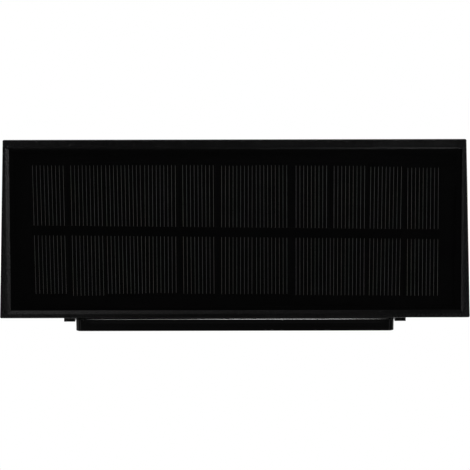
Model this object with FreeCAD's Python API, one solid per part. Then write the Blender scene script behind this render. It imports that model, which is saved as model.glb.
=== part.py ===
import FreeCAD, Part
import math
import os

# A solar fence light: a wedge-shaped lamp with a solar panel on top, a frosted lamp window
# in its sloping underside, and a fence bracket with two hooks that the lamp hangs on.
#
# Millimetres. X runs along the fence, +Y points into the fence, +Z is up.
# The origin is the centre of the bracket's back face, which lies on the fence.
# Three working frames are used:
#   row frame     as above
#   panel frame   origin at the middle of the rim's rear edge, Y along the panel towards the
#                 fence, Z square to the panel (0 on the rim's top, negative inwards)
#   window frame  origin at the middle of the sloping underside, Y down the slope towards the
#                 fence, Z square to the slope (0 on the outside, positive inwards)

V = FreeCAD.Vector
os.makedirs("parts", exist_ok=True)

# ---- Driving dimensions ----

# Fence bracket
bracket_width = 128.9
bracket_height = 44.0
bracket_thickness = 5.4
bracket_corner = 2.0
bracket_edge_round = 0.8
fence_screw_spacing = 90.0
fence_screw_hole_radius = 2.3
fence_screw_head_radius = 4.5
core_depth = 2.6
core_rib = 3.0
core_columns = 6
hook_spacing = 52.0
hook_width = 12.0
hook_neck_height = 3.0
hook_neck_bottom = 2.0
hook_tip_thickness = 2.5
hook_tip_height = 9.0

# Lamp back: a pad with two side ribs that straddle the bracket
pad_width = 138.5
rib_rise = 2.55
bracket_nesting = 1.77
bracket_above_pad = 1.3
bracket_gap = 0.25
rib_side_clearance = 0.3
pad_drop = 4.0
pad_height = 44.0
lip_thickness = 2.4
lift_travel = 7.0
hook_clearance = 0.2
hook_seat_clearance = 0.05
hook_window_side_clearance = 0.6
hook_window_spare = 0.5
pocket_wall = 1.6
head_pocket_radius = 5.5
head_pocket_depth = 3.0

# Rim round the solar panel
rim_height = 4.0
front_rim = 4.1
rear_rim = 3.1
side_rim_front = 2.4
side_rim_rear = 4.45
rim_corner_radius = 0.6
rim_edge_radius = 0.35
rim_draft = 0.42
window_flare = 1.2
window_corner_radius = 0.6
window_end_spare = 0.8
bevel_near_end = 1.4
bevel_far_end = 0.8
bevel_front = 0.8
bevel_rear = 1.36
panel_slope = 5.0

# Body below the rim
wall = 2.2
body_inset = 0.8
body_edge_radius = 0.8
body_bend_radius = 3.0
pad_bottom_margin = 6.0
nose_height = 12.7
nose_setback = 2.5
flat_depth = 29.8

# Solar panel, counted inwards from the rim's top
cover_sink = 0.8
cover_thickness = 1.1
cell_thickness = 0.2
ribbon_thickness = 0.08
mask_thickness = 0.1
backboard_thickness = 1.2
adhesive_thickness = 0.3
panel_floor = 1.8
panel_edge_gap = 0.7
sealant_sink = 0.35
cell_count = 11
cell_width = 14.18
cell_gap = 0.8
cell_height = 54.5
cell_side_margin = 7.7
cell_front_margin = 5.1
cell_rear_margin = 5.4
ribbon_width = 1.4
mask_width = 3.6
mask_turn = 0.4
adhesive_strip_width = 10.0
adhesive_inset = 2.0
grommet_hole_radius = 2.6
grommet_x = 20.0
grommet_v = -20.0
grommet_flange = 1.2
grommet_bore_clearance = 0.6

# Base cover, which closes the underside
base_thickness = 2.2
base_gasket_thickness = 0.8
base_gasket_inset = 0.4
tongue_clearance = 0.2
tongue_thickness = 1.4
tongue_height = 4.0
base_screw_side_margin = 9.0
base_screw_rear_margin = 11.8
base_screw_front_margin = 12.1
screw_head_radius = 2.8
screw_head_height = 2.0
screw_shaft_radius = 1.5
screw_hole_radius = 1.7
screw_pilot_clearance = 0.02
screw_seat = 1.8
screw_bite = 8.0
screw_head_sink = 0.5
screw_head_clearance = 0.4
pillar_radius = 3.5
cover_boss_radius = 4.0

# Lamp window, reflector and LEDs, in the window frame
lens_side_margin = 13.9
lens_depth = 34.0
lens_y = -4.0
lens_flange = 3.0
lens_flange_thickness = 1.6
lens_sink = 0.2
lens_clearance = 0.3
lens_corner_radius = 3.0
lens_gasket_thickness = 0.8
tray_margin = 2.0
tray_height = 6.0
tray_wall = 1.2
led_count = 12
led_pitch = 12.0
led_length = 3.5
led_width = 2.8
led_height = 0.8
led_hole = 4.6
led_board_depth = 20.0
led_board_end = 3.5
led_boss_clearance = 0.5
board_thickness = 1.6
led_boss_radius = 3.0
small_head_radius = 2.3
small_head_height = 1.4
small_shaft_radius = 1.2
small_hole_radius = 1.35
small_screw_bite = 5.0

# Control board, switch and button
board_to_cradle = 9.6
control_board_length = 60.0
board_to_rear = 6.8
control_board_depth = 21.0
standoff_height = 8.6
standoff_inset = 3.2
button_from_board_end = 30.0
button_to_rear = 13.8
button_radius = 4.7
button_hole_clearance = 0.25
button_sink = 0.2
button_flange_radius = 6.0
button_flange_thickness = 1.0
button_seal_radius = 6.6
button_seal_thickness = 1.0
button_seal_clearance = 0.05
button_travel = 1.2
button_dish_radius = 20.0
button_dish_depth = 0.35
button_edge_round = 0.5
switch_width = 8.0
switch_height = 4.6
switch_foot = 0.8
switch_bore_clearance = 0.3
coil_radius = 3.4
coil_height = 4.2
coil_offset = 9.0
capacitor_radius = 2.5
capacitor_height = 7.5
capacitor_pitch = 6.0
chip_length = 5.0
chip_width = 4.0
chip_height = 1.5
chip_offset = 4.0
resistor_count = 5
resistor_width = 1.0
resistor_length = 2.0
resistor_height = 0.6
resistor_pitch = 1.8
plunger_radius = 1.7
plunger_clearance = 0.15
plunger_depth = 2.0

# Battery and its cradle
battery_radius = 9.1
battery_length = 65.0
battery_nub_radius = 3.0
battery_nub_height = 1.0
sleeve_thickness = 0.15
cradle_to_pillar = 1.6
cradle_end_wall = 2.0
cradle_floor = 1.6
cradle_side = 2.0
cradle_clearance = 0.15
cradle_to_rear = 16.3
cradle_side_drop = 3.0
cradle_end_rise = 4.0
contact_half_height = 4.0
contact_thickness = 0.4
contact_width = 7.0
contact_tab_height = 2.5
spring_space = 2.6

# Leads
lead_radius = 0.65
lead_bend = 2.0
socket_length = 6.2
socket_depth = 4.6
socket_height = 4.4
socket_edge = 0.6
lead_pair_spacing = 2.1
lead_drop = 9.0
lead_over = 5.0

# ---- Sizes that follow from them ----

cell_block_width = cell_count * cell_width + (cell_count - 1) * cell_gap
window_front_width = cell_block_width + 2 * cell_side_margin
window_rear_width = window_front_width + window_flare
window_depth = cell_front_margin + cell_height + cell_rear_margin
rim_front_width = window_front_width + 2 * side_rim_front
rim_rear_width = window_rear_width + 2 * side_rim_rear
rim_depth = front_rim + window_depth + rear_rim

slope = math.radians(panel_slope)
pad_back_y = -(bracket_thickness - bracket_nesting)
rear_y = pad_back_y - rib_rise
pad_face_y = -(bracket_thickness + bracket_gap)
lip_front_y = pad_face_y - lip_thickness
rim_rear_z = bracket_height / 2 - bracket_above_pad + pad_drop
rim_front_y = rear_y - rim_depth * math.cos(slope)
rim_front_z = rim_rear_z - rim_depth * math.sin(slope)
bottom_z = rim_rear_z - pad_drop - pad_height - pad_bottom_margin
bend_y = rear_y - flat_depth
nose_bottom = (rim_front_y + nose_setback, rim_front_z - nose_height)
pad_top = rim_rear_z - pad_drop
pad_bottom = pad_top - pad_height

window_rear_v = -rear_rim
window_front_v = -rear_rim - window_depth
cells_top_w = -(cover_sink + cover_thickness)
backboard_top_w = cells_top_w - cell_thickness
backboard_bottom_w = backboard_top_w - backboard_thickness
floor_top_w = backboard_bottom_w - adhesive_thickness
floor_bottom_w = floor_top_w - panel_floor

window_slope = math.atan2(bottom_z - nose_bottom[1], bend_y - nose_bottom[0])
window_centre = V(0, (nose_bottom[0] + bend_y) / 2, (nose_bottom[1] + bottom_z) / 2)
lens_width = rim_front_width - 2 * lens_side_margin
led_screw_x = lens_width / 2 + led_boss_clearance + led_boss_radius
led_board_length = 2 * (led_screw_x + led_board_end)
lens_seat_w = base_thickness + lens_gasket_thickness
tray_bottom_w = lens_seat_w + lens_flange_thickness
led_board_w = tray_bottom_w + tray_height
led_board_top_w = led_board_w + board_thickness

inner_floor_z = bottom_z + base_thickness
base_screw_y_rear = rear_y - base_screw_rear_margin
base_screw_y_front = rim_front_y + base_screw_front_margin
side_flare = (rim_rear_width - rim_front_width) / 2 / (rear_y - rim_front_y)
rear_screw_x = (rim_rear_width / 2 - body_inset - base_screw_side_margin
                - side_flare * base_screw_rear_margin)

cradle_left = -(rear_screw_x - pillar_radius - cradle_to_pillar)
cradle_axis_y = rear_y - cradle_to_rear
battery_axis_z = inner_floor_z + cradle_floor + cradle_clearance + battery_radius + sleeve_thickness
battery_left = cradle_left + cradle_end_wall + spring_space + contact_thickness
cradle_right = battery_left + battery_length + battery_nub_height + contact_thickness + cradle_end_wall

control_board_x = cradle_right + board_to_cradle
control_board_rear = rear_y - board_to_rear
control_board_z = inner_floor_z + standoff_height
control_board_top_z = control_board_z + board_thickness
button_x = control_board_x + button_from_board_end
button_y = rear_y - button_to_rear


# ---- Helpers ----

def box(x0, y0, z0, x1, y1, z1):
    """Box between two corners."""
    return Part.makeBox(x1 - x0, y1 - y0, z1 - z0, V(x0, y0, z0))


def centred_box(width, depth, x, y, z0, z1):
    """Box centred on (x, y), from z0 to z1."""
    return box(x - width / 2, y - depth / 2, z0, x + width / 2, y + depth / 2, z1)


def cylinder(radius, x, y, z0, z1):
    """Upright cylinder from z0 to z1."""
    return Part.makeCylinder(radius, z1 - z0, V(x, y, z0))


def along_y(radius, x, z, y0, y1):
    """Cylinder along Y, from y0 to y1."""
    return Part.makeCylinder(radius, y1 - y0, V(x, y0, z), V(0, 1, 0))


def along_x(radius, y, z, x0, x1):
    """Cylinder along X, from x0 to x1."""
    return Part.makeCylinder(radius, x1 - x0, V(x0, y, z), V(1, 0, 0))


def prism(points, z0, z1):
    """Upright prism over a closed outline of (x, y) points."""
    corners = [V(x, y, z0) for x, y in points]
    face = Part.Face(Part.makePolygon(corners + corners[:1]))
    return face.extrude(V(0, 0, z1 - z0))


def round_upright(shape, radius):
    """Fillets every edge that runs along Z."""
    edges = [edge for edge in shape.Edges
             if abs(edge.tangentAt(edge.FirstParameter).z) > 0.999]
    return shape.makeFillet(radius, edges)


def on_panel(shape):
    """Moves a shape from the panel frame to the row frame."""
    moved = shape.copy()
    moved.rotate(V(0, 0, 0), V(1, 0, 0), panel_slope)
    moved.translate(V(0, rear_y, rim_rear_z))
    return moved


def on_window(shape):
    """Moves a shape from the window frame to the row frame."""
    moved = shape.copy()
    moved.rotate(V(0, 0, 0), V(1, 0, 0), math.degrees(window_slope))
    moved.translate(window_centre)
    return moved


def panel_point(x, y, z):
    """Row-frame place of a point given in the panel frame."""
    cos, sin = math.cos(slope), math.sin(slope)
    return V(x, rear_y + y * cos - z * sin, rim_rear_z + y * sin + z * cos)


def window_point(x, y, z):
    """Row-frame place of a point given in the window frame."""
    cos, sin = math.cos(window_slope), math.sin(window_slope)
    return V(x, window_centre.y + y * cos - z * sin, window_centre.z + y * sin + z * cos)


def inset_polygon(points, insets):
    """Moves each side of a counter-clockwise polygon inwards by its own amount."""
    sides = []
    for index, inset in enumerate(insets):
        x0, y0 = points[index]
        x1, y1 = points[(index + 1) % len(points)]
        length = math.hypot(x1 - x0, y1 - y0)
        dx, dy = (x1 - x0) / length, (y1 - y0) / length
        sides.append((x0 - dy * inset, y0 + dx * inset, dx, dy))
    corners = []
    for index, (x1, y1, dx1, dy1) in enumerate(sides):
        x0, y0, dx0, dy0 = sides[index - 1]
        along = ((x1 - x0) * dy1 - (y1 - y0) * dx1) / (dx0 * dy1 - dy0 * dx1)
        corners.append((x0 + dx0 * along, y0 + dy0 * along))
    return corners


def body_block(side, front, under, rear, top):
    """The wedge-shaped body with each face moved inwards by the given amount.

    Its top is counted from the rim's top plane. Negative amounts move a face outwards."""
    front_top = (rim_front_y + body_inset, rim_front_z + body_inset * math.tan(slope))
    profile = [(rear_y, rim_rear_z), front_top, nose_bottom, (bend_y, bottom_z),
               (rear_y, bottom_z)]
    profile = inset_polygon(profile, [top, front, under, under, rear])
    corners = [V(-rim_rear_width, y, z) for y, z in profile]
    wedge = Part.Face(Part.makePolygon(corners + corners[:1])).extrude(V(2 * rim_rear_width, 0, 0))
    reach = rim_height
    rear_half = rim_rear_width / 2 - body_inset - side + side_flare * reach
    front_half = rim_front_width / 2 - body_inset - side - side_flare * reach
    outline = [(-rear_half, rear_y + reach), (-front_half, rim_front_y - reach),
               (front_half, rim_front_y - reach), (rear_half, rear_y + reach)]
    return wedge.common(prism(outline, bottom_z - reach, rim_rear_z + reach))


def outer_body():
    """The whole body below the rim, with its edges rounded and its underside's bend softened."""
    top = rim_edge_radius + 1
    body = body_block(0, 0, 0, 0, top)
    bend = [edge for edge in body.Edges
            if edge.BoundBox.YLength < 0.001 and abs(edge.BoundBox.YMin - bend_y) < 0.001]
    body = body.makeFillet(body_bend_radius, bend)
    in_rim = body_block(-1, -1, -1, -1, top + 0.001)
    under_rim = [edge for edge in body.Edges
                 if in_rim.isInside(edge.valueAt((edge.FirstParameter + edge.LastParameter) / 2),
                                    0.0001, True)
                 and edge.tangentAt(edge.FirstParameter).getAngle(V(1, 0, 0)) > 0.2
                 and edge.tangentAt(edge.FirstParameter).getAngle(V(-1, 0, 0)) > 0.2]
    return body.makeFillet(body_edge_radius, under_rim)


def half_width_at(y):
    """Half the body's outer width at a place along Y."""
    return rim_front_width / 2 - body_inset + side_flare * (y - rim_front_y)


def trapezoid(front_half, rear_half, front, rear):
    """Outline that is narrower at the front."""
    return [(-rear_half, rear), (-front_half, front), (front_half, front), (rear_half, rear)]


def pan_screw(x, y, seat_z, down, head_radius, head_height, shaft_radius, bite):
    """Pan-head screw along Z: its head lies under seat_z if down, or else on top of it."""
    if down:
        head = cylinder(head_radius, x, y, seat_z, seat_z + head_height)
        shaft = cylinder(shaft_radius, x, y, seat_z - bite, seat_z)
        crown = seat_z + head_height
    else:
        head = cylinder(head_radius, x, y, seat_z - head_height, seat_z)
        shaft = cylinder(shaft_radius, x, y, seat_z, seat_z + bite)
        crown = seat_z - head_height
    slot = head_radius * 0.55
    cross = centred_box(2 * slot, 0.2 * slot + 0.3, x, y, crown - 0.7, crown + 0.7)
    cross = cross.fuse(centred_box(0.2 * slot + 0.3, 2 * slot, x, y, crown - 0.7, crown + 0.7))
    return head.fuse(shaft).cut(cross)


def lead(points, bend=lead_bend):
    """Round wire along straight runs joined by tangent arcs."""
    edges = []
    start = points[0]
    for before, corner, after in zip(points, points[1:], points[2:]):
        towards = (before - corner).normalize()
        away = (after - corner).normalize()
        turn = math.pi - towards.getAngle(away)
        reach = bend * math.tan(turn / 2)
        arc_start = corner + towards * reach
        arc_end = corner + away * reach
        middle = (towards + away).normalize()
        arc_middle = corner + middle * (bend / math.cos(turn / 2) - bend)
        edges.append(Part.LineSegment(start, arc_start).toShape())
        edges.append(Part.Arc(arc_start, arc_middle, arc_end).toShape())
        start = arc_end
    edges.append(Part.LineSegment(start, points[-1]).toShape())
    path = Part.Wire(edges)
    ring = Part.Wire(Part.makeCircle(lead_radius, points[0], points[1] - points[0]))
    tube = path.makePipeShell([ring], True, False)
    expected = path.Length * math.pi * lead_radius ** 2
    print("lead %.1f mm long, volume %.4f of its section times its length"
          % (path.Length, tube.Volume / expected))
    return tube


def save(name, *solids):
    """Writes one node's solids."""
    shape = solids[0] if len(solids) == 1 else Part.makeCompound(list(solids))
    volume = sum(solid.Volume for solid in shape.Solids)
    print("%-18s solids %3d  volume %10.2f  valid %s"
          % (name, len(shape.Solids), volume, shape.isValid()))
    shape.exportStep("parts/" + name + ".step")


# ---- Fence bracket ----

def hook_x():
    """Places of the two hooks along X."""
    return (-hook_spacing / 2, hook_spacing / 2)


def fence_bracket():
    """Moulded plate with two upward hooks, two countersunk screw holes and cored-out back."""
    half, top = bracket_width / 2, bracket_height / 2
    plate = box(-half, -bracket_thickness, -top, half, 0, top)
    corners = [edge for edge in plate.Edges
               if abs(edge.tangentAt(edge.FirstParameter).y) > 0.999]
    plate = plate.makeFillet(bracket_corner, corners)
    front_edges = [edge for edge in plate.Edges
                   if edge.BoundBox.YMax < -bracket_thickness + 0.001]
    plate = plate.makeFillet(bracket_edge_round, front_edges)
    column = (bracket_width - core_rib) / core_columns
    for row in (-1, 1):
        low = core_rib / 2 if row > 0 else -top + core_rib
        high = top - core_rib if row > 0 else -core_rib / 2
        for index in range(core_columns):
            left = -half + core_rib + index * column
            right = left + column - core_rib
            pocket = box(left, -core_depth, low, right, 1, high)
            plate = plate.cut(pocket)
    for side in (-1, 1):
        x = side * fence_screw_spacing / 2
        plate = plate.fuse(along_y(fence_screw_head_radius + 1, x, 0,
                                   -bracket_thickness + bracket_edge_round, 0))
        plate = plate.cut(along_y(fence_screw_hole_radius, x, 0, -bracket_thickness - 1, 1))
        sink = fence_screw_head_radius - fence_screw_hole_radius
        cone = Part.makeCone(fence_screw_head_radius, fence_screw_hole_radius, sink,
                             V(x, -bracket_thickness, 0), V(0, 1, 0))
        plate = plate.cut(cone)
    tip_back = lip_front_y - hook_clearance
    tip_front = tip_back - hook_tip_thickness
    neck_top = hook_neck_bottom + hook_neck_height
    for x in hook_x():
        left, right = x - hook_width / 2, x + hook_width / 2
        neck = box(left, tip_front, hook_neck_bottom, right, -bracket_thickness + 0.5, neck_top)
        tip = box(left, tip_front, hook_neck_bottom, right, tip_back,
                  hook_neck_bottom + hook_tip_height)
        hook = neck.fuse(tip).removeSplitter()
        crown = [edge for edge in hook.Edges
                 if edge.BoundBox.ZMin > hook_neck_bottom + hook_tip_height - 0.001]
        plate = plate.fuse(hook.makeChamfer(0.5, crown))
    return plate.removeSplitter()


# ---- Housing ----

def hook_window(x):
    """Opening in the lamp's back that a hook enters, and the chamber it then rises in."""
    half = hook_width / 2 + hook_window_side_clearance
    low = hook_neck_bottom - lift_travel - hook_window_spare
    neck_top = hook_neck_bottom + hook_neck_height + hook_seat_clearance
    chamber_top = hook_neck_bottom + hook_tip_height + hook_window_side_clearance
    chamber_front = lip_front_y - 2 * hook_clearance - hook_tip_thickness
    mouth = box(x - half, chamber_front, low, x + half, pad_back_y + 1, neck_top)
    chamber = box(x - half, chamber_front, low, x + half, lip_front_y, chamber_top)
    return mouth.fuse(chamber)


def hook_chamber_wall(x):
    """Blind wall that closes a hook chamber inside the housing."""
    half = hook_width / 2 + hook_window_side_clearance + pocket_wall
    low = hook_neck_bottom - lift_travel - hook_window_spare - pocket_wall
    high = hook_neck_bottom + hook_tip_height + hook_window_side_clearance + pocket_wall
    front = lip_front_y - 2 * hook_clearance - hook_tip_thickness - pocket_wall
    return box(x - half, front, low, x + half, rear_y - wall / 2, high)


def base_screws_at():
    """(x, y, seat height) of the base cover's four screws, seat height of the cover's bosses."""
    front_screw_x = half_width_at(base_screw_y_front) - base_screw_side_margin
    places = []
    for side in (-1, 1):
        places.append((side * rear_screw_x, base_screw_y_rear, rear_screw_seat()))
        places.append((side * front_screw_x, base_screw_y_front, front_screw_seat()))
    return places


def rear_screw_seat():
    """Height of the face that a rear base screw's head bears on."""
    return bottom_z + screw_head_sink + screw_head_height


def front_screw_seat():
    """The same at the front, where the head pocket's shallow side sets the height."""
    reach = base_screw_y_front - (screw_head_radius + screw_head_clearance)
    highest = window_centre.z + (reach - window_centre.y) * math.tan(window_slope)
    return highest + screw_head_height


def window_outline(near_end=0.0, far_end=0.0, front=0.0, rear=0.0):
    """Outline of the window, with each side moved outwards. The far end has spare room for sealant."""
    front_half, rear_half = window_front_width / 2, window_rear_width / 2
    far = window_end_spare + far_end
    front_v, rear_v = window_front_v - front, window_rear_v + rear
    return [(-rear_half - far, rear_v), (-front_half - far, front_v),
            (front_half + near_end, front_v), (rear_half + near_end, rear_v)]


def panel_recess():
    """Space for the solar panel and its adhesive, in the panel frame."""
    return round_upright(prism(window_outline(), floor_top_w, 0), window_corner_radius)


def lip_bevel():
    """Bevel from the rim's top down to the panel's surface, in the panel frame."""
    low = window_outline()
    high = window_outline(2 * bevel_near_end, 2 * bevel_far_end, 2 * bevel_front, 2 * bevel_rear)
    bottom = [V(x, y, -cover_sink) for x, y in low]
    top = [V(x, y, cover_sink) for x, y in high]
    return Part.makeLoft([Part.makePolygon(bottom + bottom[:1]),
                          Part.makePolygon(top + top[:1])], True, True)


def rim_block():
    """The rim's band, drawn in towards its foot so that it leaves the mould, in the panel frame."""
    foot = trapezoid(rim_front_width / 2 - rim_draft, rim_rear_width / 2 - rim_draft,
                     rim_draft - rim_depth, -rim_draft)
    crown = trapezoid(rim_front_width / 2, rim_rear_width / 2, -rim_depth, 0)
    rings = []
    for outline, w in ((foot, -rim_height), (crown, 0)):
        corners = [V(x, y, w) for x, y in outline]
        rings.append(Part.makePolygon(corners + corners[:1]))
    band = Part.makeLoft(rings, True, True)
    upright = [edge for edge in band.Edges if edge.BoundBox.ZLength > rim_height / 2]
    band = band.makeFillet(rim_corner_radius, upright)
    top = [edge for edge in band.Edges if edge.BoundBox.ZMin > -0.001]
    return band.makeFillet(rim_edge_radius, top)


def housing():
    """Moulded shell: rim, panel floor, nose, side walls and back wall with its pad."""
    parting = base_thickness + base_gasket_thickness
    body = outer_body().common(body_block(-1, -1, parting, -1, 0))
    shell = body.fuse(on_panel(rim_block()))
    pad = box(-pad_width / 2, rear_y - wall / 2, pad_bottom, pad_width / 2, pad_face_y, pad_top)
    shell = shell.fuse(pad)
    inner = bracket_width / 2 + rib_side_clearance
    for side in (-1, 1):
        edges = sorted((side * inner, side * pad_width / 2))
        rib = box(edges[0], rear_y - wall / 2, pad_bottom, edges[1], pad_back_y, pad_top)
        shell = shell.fuse(rib)
    cavity = body_block(wall, wall, 0, wall, -floor_bottom_w)
    shell = shell.cut(cavity)
    shell = shell.cut(on_panel(panel_recess()))
    shell = shell.cut(on_panel(lip_bevel()))
    for x, y, seat in base_screws_at():
        start = seat + screw_seat
        pillar = cylinder(pillar_radius, x, y, start, rim_rear_z)
        rib_reach = half_width_at(y) - wall / 2
        edges = sorted((x, math.copysign(rib_reach, x)))
        rib = box(edges[0], y - 0.8, start + 3, edges[1], y + 0.8, rim_rear_z)
        below_floor = body_block(wall / 2, wall / 2, 0, wall / 2, -floor_top_w + panel_floor / 2)
        pillar = pillar.fuse(rib).common(below_floor)
        shell = shell.fuse(pillar)
        shell = shell.cut(cylinder(screw_shaft_radius + screw_pilot_clearance, x, y,
                                   start - 1, start + screw_bite + 1))
    for x in hook_x():
        shell = shell.fuse(hook_chamber_wall(x))
    for side in (-1, 1):
        x = side * fence_screw_spacing / 2
        front = pad_face_y - head_pocket_depth - pocket_wall
        shell = shell.fuse(along_y(head_pocket_radius + pocket_wall, x, 0, front,
                                   rear_y - wall / 2))
    for x in hook_x():
        shell = shell.cut(hook_window(x))
    for side in (-1, 1):
        x = side * fence_screw_spacing / 2
        shell = shell.cut(along_y(head_pocket_radius, x, 0, pad_face_y - head_pocket_depth,
                                  pad_back_y + 1))
    hole = cylinder(grommet_hole_radius, grommet_x, grommet_v, floor_bottom_w - 2, floor_top_w + 1)
    return shell.cut(on_panel(hole)).removeSplitter()


# ---- Solar panel ----

def panel_outline():
    """(width, front, rear) of the panel's board and cover, in the panel frame."""
    width = window_front_width - 2 * panel_edge_gap
    return width, window_front_v + panel_edge_gap, window_rear_v - panel_edge_gap


def panel_plate(bottom, top, inset=0.0):
    """Plate over the panel's outline."""
    width, front, rear = panel_outline()
    return box(-width / 2 + inset, front + inset, bottom, width / 2 - inset, rear - inset, top)


def cell_places():
    """Left edge of each solar cell."""
    pitch = cell_width + cell_gap
    return [-cell_block_width / 2 + index * pitch for index in range(cell_count)]


def cells_front():
    """Front edge of the cells."""
    return window_front_v + cell_front_margin


def cells_middle():
    """Line through the middle of the cells."""
    return cells_front() + cell_height / 2


def solar_cells():
    """Cut cells side by side on the board."""
    return [on_panel(box(left, cells_front(), backboard_top_w, left + cell_width,
                         cells_front() + cell_height, cells_top_w)) for left in cell_places()]


def cell_ribbons():
    """Tinned strips along the middle of the cells, one on each."""
    middle = cells_middle()
    strips = []
    for left in cell_places():
        strip = centred_box(cell_width - 2 * cell_gap, ribbon_width, left + cell_width / 2, middle,
                            cells_top_w, cells_top_w + ribbon_thickness)
        strips.append(on_panel(strip))
    return strips


def ribbon_mask():
    """Black strip laid over the ribbons, slightly turned."""
    bottom = cells_top_w + ribbon_thickness
    strip = centred_box(cell_block_width, mask_width, 0, 0, bottom, bottom + mask_thickness)
    strip.rotate(V(0, 0, 0), V(0, 0, 1), mask_turn)
    strip.translate(V(0, cells_middle(), 0))
    return on_panel(strip)


def panel_cover():
    """Clear cover, cast over the cells, ribbons and mask."""
    top = -cover_sink
    cover = panel_plate(backboard_top_w, top)
    block = centred_box(cell_block_width, cell_height, 0, cells_middle(),
                        backboard_top_w, cells_top_w)
    cover = cover.cut(block)
    bottom = cells_top_w
    strip = centred_box(cell_block_width, mask_width, 0, 0, bottom,
                        bottom + ribbon_thickness + mask_thickness)
    strip.rotate(V(0, 0, 0), V(0, 0, 1), mask_turn)
    strip.translate(V(0, cells_middle(), 0))
    return on_panel(cover.cut(strip))


def solar_backboard():
    """Board that carries the cells."""
    return on_panel(panel_plate(backboard_bottom_w, backboard_top_w))


def panel_sealant():
    """Bead that fills the gap round the panel."""
    outline = window_outline()
    bead = round_upright(prism(outline, backboard_bottom_w, -cover_sink - sealant_sink),
                         window_corner_radius)
    return on_panel(bead.cut(panel_plate(backboard_bottom_w - 1, 1)))


def panel_adhesive():
    """Strips of adhesive between the board and the panel floor."""
    width, front, rear = panel_outline()
    half = width / 2 - adhesive_inset
    strips = []
    for y0 in (front + adhesive_inset, rear - adhesive_inset - adhesive_strip_width):
        strips.append(on_panel(box(-half, y0, floor_top_w, half, y0 + adhesive_strip_width,
                                   backboard_bottom_w)))
    return strips


def lead_grommet():
    """Soft ring that lines the hole the panel's leads pass through."""
    ring = cylinder(grommet_hole_radius, grommet_x, grommet_v, floor_bottom_w, floor_top_w)
    ring = ring.fuse(cylinder(grommet_hole_radius + grommet_flange, grommet_x, grommet_v,
                              floor_bottom_w - grommet_flange, floor_bottom_w))
    bore = cylinder(2 * lead_radius + grommet_bore_clearance, grommet_x, grommet_v,
                    floor_bottom_w - 2 * grommet_flange, floor_top_w + 1)
    return on_panel(ring.cut(bore))


# ---- Base cover ----

def lens_opening(grow, bottom, top):
    """Rounded block through the lamp window, grown on every side."""
    width = lens_width - 2 * lens_flange + 2 * grow
    depth = lens_depth - 2 * lens_flange + 2 * grow
    block = centred_box(width, depth, 0, lens_y, bottom, top)
    return round_upright(block, lens_corner_radius)


def base_cover():
    """Bent plate that closes the underside, with a tongue, bosses and the lamp window."""
    outside = -1.0
    plate = outer_body().cut(body_block(outside, outside, base_thickness, outside, 0))
    inset = wall + tongue_clearance
    tongue = body_block(inset, inset, base_thickness / 2, inset, -floor_bottom_w)
    thin = inset + tongue_thickness
    tongue = tongue.cut(body_block(thin, thin, 0, thin, 0))
    tongue = tongue.cut(body_block(outside, outside, base_thickness + tongue_height, outside, 0))
    cover = plate.fuse(tongue)
    inside = body_block(inset, inset, base_thickness / 2, inset, -floor_bottom_w)
    for x, y, seat in base_screws_at():
        boss = cylinder(cover_boss_radius, x, y, bottom_z, seat + screw_seat)
        cover = cover.fuse(boss.common(inside))
    for side in (-1, 1):
        boss = cylinder(led_boss_radius, side * led_screw_x, lens_y, base_thickness / 2, led_board_w)
        cover = cover.fuse(on_window(boss))
    for x, y in standoffs_at():
        cover = cover.fuse(cylinder(led_boss_radius, x, y, bottom_z + base_thickness / 2,
                                    control_board_z))
    for x, y, seat in base_screws_at():
        cover = cover.cut(cylinder(screw_head_radius + screw_head_clearance, x, y,
                                   bottom_z - 1, seat))
        cover = cover.cut(cylinder(screw_hole_radius, x, y, seat - 1, seat + screw_seat + 1))
    for side in (-1, 1):
        pilot = cylinder(small_shaft_radius + screw_pilot_clearance, side * led_screw_x, lens_y,
                         led_board_w - small_screw_bite - 0.5, led_board_w + 1)
        cover = cover.cut(on_window(pilot))
    for x, y in standoffs_at():
        cover = cover.cut(cylinder(small_shaft_radius + screw_pilot_clearance, x, y,
                                   control_board_z - small_screw_bite - 0.5, control_board_z + 1))
    cover = cover.cut(on_window(lens_opening(lens_clearance, -1, base_thickness + 1)))
    hole = button_radius + button_hole_clearance
    cover = cover.cut(cylinder(hole, button_x, button_y, bottom_z - 1, inner_floor_z + 1))
    return cover.removeSplitter()


def base_gasket():
    """Soft ring between the housing's edge and the base cover."""
    ring = body_block(base_gasket_inset, base_gasket_inset, base_thickness, base_gasket_inset,
                      -floor_bottom_w)
    ring = ring.cut(body_block(wall, wall, 0, wall, 0))
    return ring.cut(body_block(-1, -1, base_thickness + base_gasket_thickness, -1, 0))


def base_screws():
    """Four screws that hold the base cover."""
    bite = screw_seat + screw_bite
    return [pan_screw(x, y, seat, False, screw_head_radius, screw_head_height,
                      screw_shaft_radius, bite) for x, y, seat in base_screws_at()]


# ---- Lamp window and LEDs ----

def lens():
    """Frosted lens: a flange inside the cover and a raised middle that fills the window."""
    flange = centred_box(lens_width, lens_depth, 0, lens_y, lens_seat_w, tray_bottom_w)
    flange = round_upright(flange, lens_corner_radius)
    return on_window(flange.fuse(lens_opening(0, lens_sink, lens_seat_w)).removeSplitter())


def lens_gasket():
    """Soft ring between the lens's flange and the cover."""
    ring = centred_box(lens_width, lens_depth, 0, lens_y, base_thickness, lens_seat_w)
    ring = round_upright(ring, lens_corner_radius)
    return on_window(ring.cut(lens_opening(lens_clearance, base_thickness - 1, lens_seat_w + 1)))


def led_places():
    """Places of the LEDs along X."""
    return [(index - (led_count - 1) / 2) * led_pitch for index in range(led_count)]


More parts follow.
